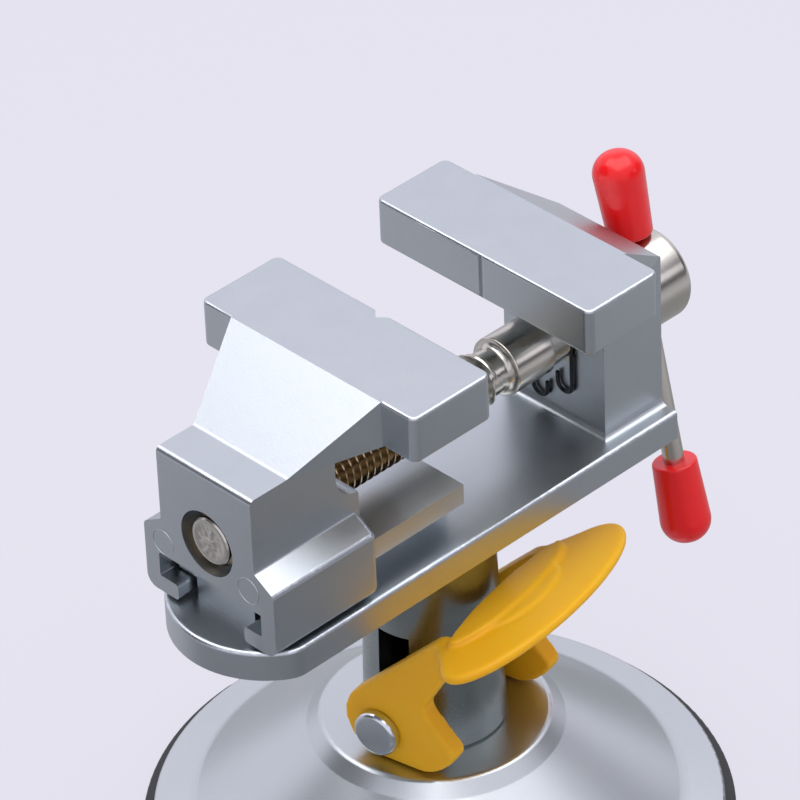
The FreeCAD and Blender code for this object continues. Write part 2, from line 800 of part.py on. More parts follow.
def clip_hook(side_sign, drop):
    """Leg that hangs from one end of the clip's ring and turns up again in a hook."""
    leg = side_sign * clip_leg
    tail = leg - side_sign * 2 * hook_radius
    top = -math.sqrt(clip_ring ** 2 - clip_leg ** 2)
    bend = V(clip_x, leg - side_sign * hook_radius, -drop - hook_radius)
    edges = [
        Part.makeLine(V(clip_x, leg, top), V(clip_x, leg, -drop)),
        Part.Arc(V(clip_x, leg, -drop), bend, V(clip_x, tail, -drop)).toShape(),
        Part.makeLine(V(clip_x, tail, -drop), V(clip_x, tail, -drop + hook_tail)),
    ]
    section = Part.Wire(Part.makeCircle(clip_wire, V(clip_x, leg, top), V(0, 0, -1)))
    return Part.Wire(edges).makePipeShell([section], True, True)


def screw_clip():
    """Open wire ring in the shank's groove, its two ends hooked for pliers."""
    low = -math.acos(clip_leg / clip_ring)
    ends = [V(clip_x, side_sign * clip_leg, clip_ring * math.sin(low)) for side_sign in (1, -1)]
    path = Part.Wire(Part.Arc(ends[0], V(clip_x, 0, clip_ring), ends[1]).toShape())
    tangent = V(0, -math.sin(low), math.cos(low))
    section = Part.Wire(Part.makeCircle(clip_wire, ends[0], tangent))
    clip = path.makePipeShell([section], True, True)
    joints = [Part.makeSphere(clip_wire, end) for end in ends]
    clip = clip.fuse([*joints, clip_hook(1, far_hook_drop), clip_hook(-1, near_hook_drop)])
    clip.translate(V(0, 0, screw_axis))
    return clip


# ---- tommy bar and caps ----

def lean_on_screw(shape):
    """Move a piece built along Z about the origin to the bar's place in the screw head."""
    shape.rotate(V(0, 0, 0), V(1, 0, 0), -bar_lean)
    shape.translate(V(bar_x, 0, screw_axis))
    return shape


def tommy_bar():
    """Plain round bar through the screw's head, slid fully down."""
    low = -lower_cap_reach - cap_socket_depth
    high = cap_reach + cap_socket_depth
    return lean_on_screw(turned([
        (0, low, 0),
        (bar_radius, low, 0.3),
        (bar_radius, high, 0.3),
        (0, high, 0),
    ]))


def tommy_cap(upward):
    """Soft sleeve with a domed end, pushed on one end of the bar."""
    cap = turned([
        (bar_radius, 0, 0),
        (cap_mouth_radius, 0, 0.4),
        (cap_end_radius, cap_length, cap_end_radius * 0.86),
        (0, cap_length, 0),
        (0, cap_socket_depth, 0),
        (bar_radius, cap_socket_depth, 0),
    ])
    cap.translate(V(0, 0, cap_reach if upward else lower_cap_reach))
    if not upward:
        cap.rotate(V(0, 0, 0), V(1, 0, 0), 180)
    return lean_on_screw(cap)


# ---- screw that holds the bed on the post ----

def bed_screw():
    """Socket head screw, pointing up through the post's crown into the bed."""
    seat = bed_foot - post_crown - lock_washer_height
    low = seat - bed_screw_head_height
    body = turned([
        (0, low, 0),
        (bed_screw_head_radius, low, 0.4),
        (bed_screw_head_radius, seat, 0.2),
        (bed_screw_radius, seat, 0),
        (bed_screw_radius, bed_foot + bed_screw_bite, 0.4),
        (0, bed_foot + bed_screw_bite, 0),
    ])
    corner_radius = bed_screw_socket / math.cos(math.radians(30))
    corners = []
    for step in range(6):
        angle = math.radians(60 * step)
        corners.append((corner_radius * math.cos(angle), corner_radius * math.sin(angle), 0))
    socket = rounded_face(corners, plan(low)).extrude(V(0, 0, bed_screw_socket_depth))
    return body.cut(socket)


def bed_lock_washer():
    """Split washer under the bed screw's head."""
    low = bed_foot - post_crown - lock_washer_height
    disc = Part.makeCylinder(lock_washer_radius, lock_washer_height, V(0, 0, low))
    hole = Part.makeCylinder(bed_screw_radius + loose_gap, lock_washer_height, V(0, 0, low))
    slit = box(0, 2 * lock_washer_radius, -lock_washer_slit / 2, lock_washer_slit / 2, low,
               low + lock_washer_height)
    return disc.cut(hole).cut(slit)


pieces = {
    "suction_cup": suction_cup,
    "base_cap": base_cap,
    "post_column": post_column,
    "post_nut": post_nut,
    "nut_washer": nut_washer,
    "bed_screw": bed_screw,
    "bed_lock_washer": bed_lock_washer,
    "pull_stud": pull_stud,
    "stud_plate": stud_plate,
    "return_spring": return_spring,
    "lever_pin": lever_pin,
    "pin_push_nut": pin_push_nut,
    "cam_lever": cam_lever,
    "bed_and_fixed_jaw": bed_and_fixed_jaw,
    "moving_jaw": moving_jaw,
    "lead_screw": lead_screw,
    "screw_clip": screw_clip,
    "tommy_bar": tommy_bar,
    "tommy_cap_upper": lambda: tommy_cap(True),
    "tommy_cap_lower": lambda: tommy_cap(False),
}

os.makedirs("parts", exist_ok=True)
for name, build in pieces.items():
    build().exportStep("parts/" + name + ".step")
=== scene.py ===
"""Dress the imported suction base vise: softened castings, a true thread, moulded and turned parts."""

import logging
import math
from abc import ABC, abstractmethod
from dataclasses import dataclass, field
from enum import Enum

import bmesh
import bpy
from mathutils import Matrix, Vector, noise


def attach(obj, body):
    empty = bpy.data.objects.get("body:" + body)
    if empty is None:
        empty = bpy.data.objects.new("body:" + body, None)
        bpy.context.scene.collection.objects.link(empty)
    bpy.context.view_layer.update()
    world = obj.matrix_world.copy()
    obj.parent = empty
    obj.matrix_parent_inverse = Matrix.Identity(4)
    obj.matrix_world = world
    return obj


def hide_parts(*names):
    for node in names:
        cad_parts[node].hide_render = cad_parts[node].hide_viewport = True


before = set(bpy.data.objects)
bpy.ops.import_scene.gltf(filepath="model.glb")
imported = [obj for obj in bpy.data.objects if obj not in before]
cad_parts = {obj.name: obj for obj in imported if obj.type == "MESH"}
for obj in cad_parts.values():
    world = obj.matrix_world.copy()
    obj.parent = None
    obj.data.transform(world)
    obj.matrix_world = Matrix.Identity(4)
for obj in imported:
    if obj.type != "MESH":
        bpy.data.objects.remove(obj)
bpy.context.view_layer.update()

LOG = logging.getLogger("vise")
MM = 0.001
MERGE_GAP = 0.002                       # millimetres between points that become one
NOISE_SPAN = (0.3, 0.7)                 # where nearly all of a noise texture's values lie
SCATTER_TINT = (1.0, 0.45, 0.15)        # share of the reach that red, green and blue go

Colour = tuple[float, float, float]
Direction = tuple[float, float, float]
Span = tuple[float, float]
Ramp = tuple[float, float, float, float]    # a source range, then the results at its ends
Sockets = tuple[bpy.types.NodeSocket, bpy.types.NodeSocket]


class Body(Enum):
    """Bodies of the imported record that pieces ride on."""

    BASE = "base"
    MOVING_JAW = "moving_jaw"
    SCREW = "screw"
    LEVER = "lever"


class Slot(Enum):
    """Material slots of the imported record."""

    CASTING = "cast_metal"
    PRESSING = "pressed_metal"
    POST = "post_metal"
    RUBBER = "black_rubber"
    PLASTIC = "orange_plastic"
    VINYL = "red_vinyl"
    PLATED = "plated_steel"
    PIN = "pin_steel"
    ZINC = "zinc_steel"
    SPRING = "spring_steel"
    BLACK = "black_steel"


class Coverage(Enum):
    """Where a finish gets edge wear and painted sheen: a highlight on castings, a brown reflection on
    the thread.
    """

    NONE = 0
    EDGES = 1


def srgb(red: int, green: int, blue: int) -> Colour:
    """Turn a colour of 0 to 255 per channel into linear values.

    Args:
        red: the red channel.
        green: the green channel.
        blue: the blue channel.

    Returns:
        The three linear shares, by the standard sRGB curve.
    """
    shares = (channel / 255 for channel in (red, green, blue))
    return tuple(s / 12.92 if s <= 0.04045 else ((s + 0.055) / 1.055) ** 2.4 for s in shares)


class Graph:
    """Adds nodes to one tree and links them."""

    def __init__(self, tree: bpy.types.NodeTree) -> None:
        """Keep the tree whose nodes are made.

        Args:
            tree: a shader or geometry node tree.
        """
        self.tree = tree

    def add(self, kind: str, inputs: dict | None = None, **settings: object) -> bpy.types.Node:
        """Add one node.

        Args:
            kind: the node's type, such as ShaderNodeMix.
            inputs: values or output sockets for its inputs, by name or number.
            settings: the node's own properties.

        Returns:
            The new node.
        """
        node = self.tree.nodes.new(kind)
        for name, value in settings.items():
            setattr(node, name, value)
        for key, value in (inputs or {}).items():
            if isinstance(value, bpy.types.NodeSocket):
                self.tree.links.new(value, node.inputs[key])
            else:
                node.inputs[key].default_value = value
        return node

    def maths(self, operation: str, *values: object) -> bpy.types.NodeSocket:
        """Work out one number from others.

        Args:
            operation: the Math node's operation.
            values: numbers or sockets.

        Returns:
            The result's socket.
        """
        node = self.add("ShaderNodeMath", dict(enumerate(values)), operation=operation)
        return node.outputs[0]

    def spread(self, value: object, low: object, high: object, to_low: object, to_high: object,
               smooth: bool = False) -> bpy.types.NodeSocket:
        """Map a range of a value to another range.

        Args:
            value: the socket that is mapped.
            low: start of the source range, a number or a socket.
            high: end of the source range, a number or a socket.
            to_low: result at the start, a number or a socket.
            to_high: result at the end, a number or a socket.
            smooth: whether the step between them is eased.

        Returns:
            The mapped value's socket.
        """
        kind = "SMOOTHSTEP" if smooth else "LINEAR"
        sockets = {0: value, 1: low, 2: high, 3: to_low, 4: to_high}
        return self.add("ShaderNodeMapRange", sockets, interpolation_type=kind).outputs[0]

    def blend(self, share: object, first: object, second: object) -> bpy.types.NodeSocket:
        """Mix two colours.

        Args:
            share: how much of the second colour shows.
            first: colour or socket.
            second: colour or socket.

        Returns:
            The mixed colour's socket.
        """
        node = self.add("ShaderNodeMix", data_type="RGBA")
        for key, value in ((0, share), (6, first), (7, second)):
            if isinstance(value, bpy.types.NodeSocket):
                self.tree.links.new(value, node.inputs[key])
            else:
                node.inputs[key].default_value = (*value, 1.0) if key else value
        return node.outputs[2]


@dataclass
class SharedEffects:
    """Shader node groups that several finishes use."""

    grain: bpy.types.NodeTree = field(init=False)
    wear_and_sheen_edge: bpy.types.NodeTree = field(init=False)
    mottle_height: float = 1.5          # height of the mottling against the grain's
    patch_scale: float = 0.14           # scale of the larger patches of wear and painted highlight against the small
    full_wear_and_sheen: float = 0.29             # noise value above which a marked edge takes the full wear and painted highlight tone at amount 1
    wear_and_sheen_range: float = 0.36            # how far that value rises towards amount 0
    wear_and_sheen_softness: float = 0.08

    def __post_init__(self) -> None:
        """Build every group once."""
        self.grain = self._grain()
        self.wear_and_sheen_edge = self._wear_and_sheen_edge()

    @staticmethod
    def _group(name: str, inputs: dict[str, float | None], outputs: tuple[str, ...]
               ) -> tuple[bpy.types.NodeTree, Graph, bpy.types.Node, bpy.types.Node]:
        """Make an empty group with named sockets.

        Args:
            name: the group's name.
            inputs: each input's name and start value, None for a vector.
            outputs: names of the number outputs.

        Returns:
            The tree, a graph on it, its input node and its output node.
        """
        tree = bpy.data.node_groups.new(name, "ShaderNodeTree")
        for key, value in inputs.items():
            kind = "NodeSocketVector" if value is None else "NodeSocketFloat"
            socket = tree.interface.new_socket(key, in_out="INPUT", socket_type=kind)
            if value is not None:
                socket.default_value = value
        for key in outputs:
            tree.interface.new_socket(key, in_out="OUTPUT", socket_type="NodeSocketFloat")
        graph = Graph(tree)
        return tree, graph, graph.add("NodeGroupInput"), graph.add("NodeGroupOutput")

    def _grain(self) -> bpy.types.NodeTree:
        """Make fine grain on soft mottling, as masks and as a height.

        Returns:
            The group's tree.
        """
        tree, graph, start, end = self._group(
            "grain_and_mottle", {"Vector": None, "Grain Scale": 3000.0, "Mottle Scale": 150.0},
            ("Grain", "Mottle", "Height"))
        fine = graph.add("ShaderNodeTexNoise", {
            "Vector": start.outputs[0], "Scale": start.outputs[1], "Detail": 2.0}).outputs[0]
        coarse = graph.add("ShaderNodeTexNoise", {
            "Vector": start.outputs[0], "Scale": start.outputs[2], "Detail": 4.0,
            "Roughness": 0.6}).outputs[0]
        graph.tree.links.new(graph.spread(fine, *NOISE_SPAN, 0.0, 1.0), end.inputs[0])
        graph.tree.links.new(graph.spread(coarse, *NOISE_SPAN, 0.0, 1.0), end.inputs[1])
        height = graph.maths("MULTIPLY_ADD", coarse, self.mottle_height, fine)
        graph.tree.links.new(height, end.inputs[2])
        return tree

    def _wear_and_sheen_edge(self) -> bpy.types.NodeTree:
        """Make broken wear and painted highlight along edges that the mesh marks.

        Returns:
            The group's tree.
        """
        tree, graph, start, end = self._group(
            "wear_and_sheen_edge", {"Vector": None, "Edge": 0.0, "Break Scale": 900.0, "Amount": 0.6},
            ("Wear and Sheen",))
        rough = graph.add("ShaderNodeTexNoise", {
            "Vector": start.outputs[0], "Scale": start.outputs[2], "Detail": 5.0,
            "Roughness": 0.7}).outputs[0]
        wide = graph.maths("MULTIPLY", start.outputs[2], self.patch_scale)
        patches = graph.add("ShaderNodeTexNoise", {
            "Vector": start.outputs[0], "Scale": wide, "Detail": 2.0}).outputs[0]
        broken = graph.maths("MULTIPLY_ADD", rough, 0.5, graph.maths("MULTIPLY", patches, 0.5))
        whole = graph.maths("SUBTRACT", 1.0, start.outputs[3])
        low = graph.maths("MULTIPLY_ADD", whole, self.wear_and_sheen_range, self.full_wear_and_sheen)
        high = graph.maths("ADD", low, self.wear_and_sheen_softness)
        share = graph.spread(broken, low, high, 0.0, 1.0, smooth=True)
        wear_and_sheen = graph.maths("MULTIPLY", share, start.outputs[1])
        graph.tree.links.new(wear_and_sheen, end.inputs[0])
        return tree


EFFECTS = SharedEffects()


@dataclass(frozen=True)
class Finish:
    """A surface with two tones, grain, mottling, and worn edges with a painted highlight."""

    slot: Slot
    light: Colour
    dark: Colour
    metallic: float
    gloss: Span                         # roughness where the grain is low and where it is high
    grain_scale: float = 3000.0
    mottle_scale: float = 150.0
    grain_share: float = 0.35
    bump_height: float = 0.004          # millimetres
    coat: float = 0.0
    coat_roughness: float = 0.1
    specular: float = 0.5
    subsurface: float = 0.0
    subsurface_reach: float = 0.0       # millimetres
    coverage: Coverage = Coverage.NONE
    # tone of worn metal and painted highlight on marked edges; the thread uses it for a painted brown
    # reflection
    wear_and_sheen_tone: Colour = (0.9, 0.92, 0.95)
    wear_and_sheen_amount: float = 0.6
    wear_and_sheen_scale: float = 1100.0
    wear_and_sheen_strength: float = 0.55
    wear_and_sheen_gloss: float = 0.7             # share of the roughness that worn edges with their painted highlight keep
    suffix: str = ""

    def material(self) -> bpy.types.Material:
        """Build the finish as a material.

        Returns:
            A material that reads object coordinates and the mesh's edge mask.
        """
        made = bpy.data.materials.new(self.slot.value + "_finish" + self.suffix)
        made.use_nodes = True
        graph = Graph(made.node_tree)
        shader = made.node_tree.nodes["Principled BSDF"]
        place = graph.add("ShaderNodeTexCoord").outputs["Object"]
        grain = graph.add("ShaderNodeGroup", {}, node_tree=EFFECTS.grain)
        graph.tree.links.new(place, grain.inputs["Vector"])
        grain.inputs["Grain Scale"].default_value = self.grain_scale
        grain.inputs["Mottle Scale"].default_value = self.mottle_scale
        tone = graph.maths("MULTIPLY_ADD", grain.outputs["Grain"], self.grain_share,
                           graph.maths("MULTIPLY", grain.outputs["Mottle"],
                                       1.0 - self.grain_share))
        colour = graph.blend(tone, self.dark, self.light)
        rough = graph.spread(tone, 0.0, 1.0, *self.gloss)
        colour, rough = self.wear_and_sheen(graph, place, colour, rough)
        graph.tree.links.new(colour, shader.inputs["Base Color"])
        graph.tree.links.new(rough, shader.inputs["Roughness"])
        bump = graph.add("ShaderNodeBump", {
            "Height": grain.outputs["Height"], "Distance": self.bump_height * MM,
            "Strength": 1.0})
        graph.tree.links.new(bump.outputs[0], shader.inputs["Normal"])
        shader.inputs["Metallic"].default_value = self.metallic
        shader.inputs["Coat Weight"].default_value = self.coat
        shader.inputs["Coat Roughness"].default_value = self.coat_roughness
        shader.inputs["Specular IOR Level"].default_value = self.specular
        shader.inputs["Subsurface Weight"].default_value = self.subsurface
        shader.inputs["Subsurface Scale"].default_value = self.subsurface_reach * MM
        shader.inputs["Subsurface Radius"].default_value = SCATTER_TINT
        return made

    def wear_and_sheen(self, graph: Graph, place: bpy.types.NodeSocket, colour: bpy.types.NodeSocket,
             rough: bpy.types.NodeSocket) -> Sockets:
        """Paint worn metal and a painted highlight where the mesh marks edges.

        Args:
            graph: the material's graph.
            place: object coordinates.
            colour: colour so far.
            rough: roughness so far.

        Returns:
            The colour and the roughness with the wear and painted highlight.
        """
        if self.coverage is Coverage.NONE:
            return colour, rough
        edge = graph.add("ShaderNodeAttribute", attribute_name="edge").outputs["Fac"]
        wear_and_sheen_node = graph.add("ShaderNodeGroup", {}, node_tree=EFFECTS.wear_and_sheen_edge)
        graph.tree.links.new(place, wear_and_sheen_node.inputs["Vector"])
        graph.tree.links.new(edge, wear_and_sheen_node.inputs["Edge"])
        wear_and_sheen_node.inputs["Break Scale"].default_value = self.wear_and_sheen_scale
        wear_and_sheen_node.inputs["Amount"].default_value = self.wear_and_sheen_amount
        share = graph.maths("MULTIPLY", wear_and_sheen_node.outputs["Wear and Sheen"], self.wear_and_sheen_strength)
        gloss = graph.spread(share, 0.0, 1.0, 1.0, self.wear_and_sheen_gloss)
        return graph.blend(share, colour, self.wear_and_sheen_tone), graph.maths("MULTIPLY", rough, gloss)


# Marked edges get wear plus a painted highlight on upward-facing rounded facets.
CASTING = Finish(
    Slot.CASTING, light=srgb(192, 198, 201), dark=srgb(186, 192, 196), metallic=1.0,
    gloss=(0.31, 0.35), grain_scale=4200, mottle_scale=200, grain_share=0.6, bump_height=0.009,
    coverage=Coverage.EDGES, wear_and_sheen_tone=srgb(228, 232, 238), wear_and_sheen_amount=0.45)
PRESSING = Finish(
    Slot.PRESSING, light=srgb(197, 202, 203), dark=srgb(189, 195, 197), metallic=1.0,
    gloss=(0.28, 0.32), grain_scale=3600, mottle_scale=60, grain_share=0.4, bump_height=0.003)
POST = Finish(
    Slot.POST, light=srgb(150, 158, 156), dark=srgb(138, 146, 145), metallic=1.0,
    gloss=(0.26, 0.32), grain_scale=3600, mottle_scale=160, bump_height=0.004)
RUBBER = Finish(
    Slot.RUBBER, light=srgb(34, 34, 36), dark=srgb(24, 24, 26), metallic=0.0,
    gloss=(0.42, 0.55), grain_scale=2500, mottle_scale=90, bump_height=0.01)
PLASTIC = Finish(
    Slot.PLASTIC, light=srgb(255, 193, 32), dark=srgb(255, 184, 20), metallic=0.0,
    gloss=(0.4, 0.46), grain_scale=1600, mottle_scale=70, grain_share=0.15, bump_height=0.008,
    specular=0.3, subsurface=0.3, subsurface_reach=2.0)
VINYL = Finish(
    Slot.VINYL, light=srgb(248, 18, 22), dark=srgb(240, 14, 18), metallic=0.0,
    gloss=(0.26, 0.32), grain_scale=1500, mottle_scale=90, grain_share=0.15, bump_height=0.008,
    coat=0.4, coat_roughness=0.12, specular=0.3, subsurface=0.15, subsurface_reach=1.0)
PLATED = Finish(
    Slot.PLATED, light=srgb(204, 200, 190), dark=srgb(194, 190, 180), metallic=1.0,
    gloss=(0.18, 0.24), grain_scale=5000, mottle_scale=200, bump_height=0.002)
# The threaded length's edge tone is a painted brown reflection, laid over it by the edge mask.
THREADED = Finish(
    Slot.PLATED, light=srgb(204, 200, 190), dark=srgb(194, 190, 180), metallic=1.0,
    gloss=(0.18, 0.24), grain_scale=5000, mottle_scale=200, bump_height=0.002,
    coverage=Coverage.EDGES, wear_and_sheen_tone=srgb(150, 126, 88), wear_and_sheen_amount=1.0, wear_and_sheen_strength=0.85,
    suffix="_threaded")
PIN = Finish(
    Slot.PIN, light=srgb(214, 220, 224), dark=srgb(204, 211, 217), metallic=1.0,
    gloss=(0.18, 0.26), grain_scale=4000, mottle_scale=300, bump_height=0.003)
ZINC = Finish(
    Slot.ZINC, light=srgb(190, 194, 196), dark=srgb(170, 175, 178), metallic=1.0,
    gloss=(0.28, 0.4), grain_scale=3600, mottle_scale=220, bump_height=0.004)
SPRING = Finish(
    Slot.SPRING, light=srgb(170, 170, 168), dark=srgb(150, 150, 148), metallic=1.0,
    gloss=(0.25, 0.36), grain_scale=4000, mottle_scale=300, bump_height=0.003)
BLACK = Finish(
    Slot.BLACK, light=srgb(44, 45, 48), dark=srgb(30, 31, 33), metallic=0.6,
    gloss=(0.3, 0.42), grain_scale=4000, mottle_scale=300, bump_height=0.004)


class Wardrobe:
    """Makes each finish's material once."""

    def __init__(self) -> None:
        """Start with no material made."""
        self.made: dict[Finish, bpy.types.Material] = {}

    def material(self, finish: Finish) -> bpy.types.Material:
        """Give a finish's material, built on its first use.

        Args:
            finish: the finish.

        Returns:
            Its material.
        """
        if finish not in self.made:
            self.made[finish] = finish.material()
        return self.made[finish]


def merged_copy(node: str, name: str) -> bpy.types.Object:
    """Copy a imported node's mesh into a new object with its loose triangles merged.

    Args:
        node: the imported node.
        name: the new object's name.

    Returns:
        An object in the scene, at the origin.
    """
    made = bmesh.new()
    made.from_mesh(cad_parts[node].data)
    bmesh.ops.remove_doubles(made, verts=made.verts, dist=MERGE_GAP * MM)
    bmesh.ops.recalc_face_normals(made, faces=made.faces)
    mesh = bpy.data.meshes.new(name)
    made.to_mesh(mesh)
    made.free()
    if "custom_normal" in mesh.attributes:
        mesh.attributes.remove(mesh.attributes["custom_normal"])
    piece = bpy.data.objects.new(name, mesh)
    bpy.context.scene.collection.objects.link(piece)
    return piece


def baked(piece: bpy.types.Object) -> bpy.types.Object:
    """Turn an object's modifiers into its plain mesh.

    Args:
        piece: an object with modifiers.

    Returns:
        The same object, with none.
    """
    view = bpy.context.evaluated_depsgraph_get()
    view.update()
    plain = bpy.data.meshes.new_from_object(piece.evaluated_get(view))
    plain.name = piece.name
    piece.modifiers.clear()
    piece.data = plain
    return piece


@dataclass
class Piece(ABC):
    """One dressed piece: it builds its object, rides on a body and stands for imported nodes."""

    wardrobe: Wardrobe

    @property
    @abstractmethod
    def finish(self) -> Finish:
        """Main finish of the piece."""

    @property
    @abstractmethod
    def body(self) -> Body:
        """Body that carries the piece."""

    @property
    @abstractmethod
    def nodes(self) -> tuple[str, ...]:
        """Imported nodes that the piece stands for."""

    @abstractmethod
    def shape(self) -> bpy.types.Object:
        """Build the piece's object."""

    def build(self) -> bpy.types.Object:
        """Build, dress and place the piece.

        Returns:
            The finished object.
        """
        piece = self.shape()
        if not piece.data.materials:
            piece.data.materials.append(self.wardrobe.material(self.finish))
        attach(piece, self.body.value)
        self.finish.slot.value
        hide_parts(*self.nodes)
        LOG.info("%s: %d faces", piece.name, len(piece.data.polygons))
        return piece


@dataclass
class SoftenedSolid(Piece):
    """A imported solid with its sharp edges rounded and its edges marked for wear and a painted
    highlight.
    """

    node: str = ""
    name: str = ""
    surface: Finish = CASTING
    carrier: Body = Body.BASE
    edge_radius: float = 0.45           # millimetres
    edge_steps: int = 3
    sharp_angle: float = 28.0           # degrees
    flat_angle: float = 1.0             # degrees
    strip_width: float = 0.33           # millimetres, widest facet of a rounded edge
    wear_and_sheen_slope: Span = (0.45, 0.93)     # upward share of the normal of a facet that gets wear and the painted highlight

    @property
    def finish(self) -> Finish:
        """The solid's finish."""
        return self.surface

    @property
    def body(self) -> Body:
        """The solid's body."""
        return self.carrier

    @property
    def nodes(self) -> tuple[str, ...]:
        """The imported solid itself."""
        return (self.node,)

    def shape(self) -> bpy.types.Object:
        """Round the sharp edges of a merged copy and mark them.

        Returns:
            The softened object.
        """
        piece = merged_copy(self.node, self.name)
        self.flatten(piece.data)
        bevel = piece.modifiers.new("rounding", "BEVEL")
        bevel.width = self.edge_radius * MM
        bevel.segments = self.edge_steps
        bevel.limit_method = "ANGLE"
        bevel.angle_limit = math.radians(self.sharp_angle)
        bevel.use_clamp_overlap = True
        bevel.miter_outer = "MITER_ARC"
        normals = piece.modifiers.new("flat_faces", "WEIGHTED_NORMAL")
        normals.keep_sharp = True
        for face in piece.data.polygons:
            face.use_smooth = True
        piece = baked(piece)
        self.mark_edges(piece.data)
        return piece

    def flatten(self, mesh: bpy.types.Mesh) -> None:
        """Join triangles that lie in one plane.

        Args:
            mesh: the mesh that is changed.
        """
        made = bmesh.new()
        made.from_mesh(mesh)
        bmesh.ops.dissolve_limit(made, angle_limit=math.radians(self.flat_angle),
                                 verts=made.verts, edges=made.edges)
        made.to_mesh(mesh)
        made.free()

    def mark_edges(self, mesh: bpy.types.Mesh) -> None:
        """Store on each face whether it is a narrow, upward-facing facet of a convex rounded edge, for
        wear and a painted highlight.

        Args:
            mesh: the softened mesh. It gets a face attribute named edge.
        """
        made = bmesh.new()
        made.from_mesh(mesh)
        made.normal_update()
        values = []
        for face in made.faces:
            length = sum(edge.calc_length() for edge in face.edges)
            narrow = 2 * face.calc_area() < self.strip_width * MM * length
            # only facets that face up get the mark: the painted highlight of light from above, as well
            # as wear
            lit = self.wear_and_sheen_slope[0] < face.normal.z < self.wear_and_sheen_slope[1]
            bend = sum(edge.calc_face_angle_signed(0.0) * edge.calc_length()
                       for edge in face.edges)
            values.append(1.0 if narrow and lit and bend > 0.0 else 0.0)
        made.free()
        mask = mesh.attributes.new("edge", "FLOAT", "FACE")
        mask.data.foreach_set("value", values)


@dataclass
class MovingJaw(SoftenedSolid):
    """The moving jaw's casting with two thin raised rings on its front face."""

    front: float = -39.7                # millimetres, as are the other sizes
    ring_places: tuple[Span, ...] = ((8.66, 65.2), (-7.56, 65.75))  # across and up
    ring_radius: float = 1.95
    ring_height: float = 0.07
    ring_steps: int = 48
    ring_sides: int = 10

    def shape(self) -> bpy.types.Object:
        """Add the rings to the softened casting.

        Returns:
            The jaw's object.
        """
        piece = super().shape()
        made = bmesh.new()
        made.from_mesh(piece.data)
        for across, up in self.ring_places:
            self.add_ring(made, Vector((self.front, across, up)) * MM)
        made.to_mesh(piece.data)
        made.free()
        return piece

    def add_ring(self, made: bmesh.types.BMesh, middle: Vector) -> None:
        """Spin one small circle round a point of the front face.

        Args:
            made: the casting's mesh.
            middle: the ring's middle.
        """
        loop = []
        for step in range(self.ring_sides):
            angle = math.tau * step / self.ring_sides
            out = (self.ring_radius + self.ring_height * math.cos(angle)) * MM
            rise = self.ring_height * math.sin(angle) * MM
            loop.append(made.verts.new(middle + Vector((rise, 0, out))))
        edges = [made.edges.new((loop[step - 1], vert)) for step, vert in enumerate(loop)]
        bmesh.ops.spin(
            made, geom=loop + edges, cent=middle, axis=(1, 0, 0), angle=math.tau,
            steps=self.ring_steps, use_merge=True)
        ring: set[bmesh.types.BMFace] = set()
        wider = {face for vert in loop for face in vert.link_faces}
        while len(wider) > len(ring):
            ring = wider
            wider = ring | {other for face in ring for edge in face.edges
                            for other in edge.link_faces}
        bmesh.ops.recalc_face_normals(made, faces=list(ring))
        for face in ring:
            face.smooth = True


@dataclass
class MouldedLever(Piece):
    """The cam lever as moulded plastic: every edge flows into its faces."""

    cell: float = 0.25                  # millimetres, size of the remesh
    smoothing: int = 9

    @property
    def finish(self) -> Finish:
        """Satin orange plastic."""
        return PLASTIC

    @property
    def body(self) -> Body:
        """The lever's own body."""
        return Body.LEVER

    @property
    def nodes(self) -> tuple[str, ...]:
        """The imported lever."""
        return ("cam_lever",)

    def shape(self) -> bpy.types.Object:
        """Remesh the lever finely and let its edges flow.

        Returns:
            The lever's object.
        """
        piece = merged_copy("cam_lever", "cam_lever_moulded")
        remesh = piece.modifiers.new("cells", "REMESH")
        remesh.mode = "VOXEL"
        remesh.voxel_size = self.cell * MM
        remesh.use_smooth_shade = True
        smooth = piece.modifiers.new("flow", "CORRECTIVE_SMOOTH")
        smooth.iterations = self.smoothing
        smooth.use_only_smooth = True
        return baked(piece)


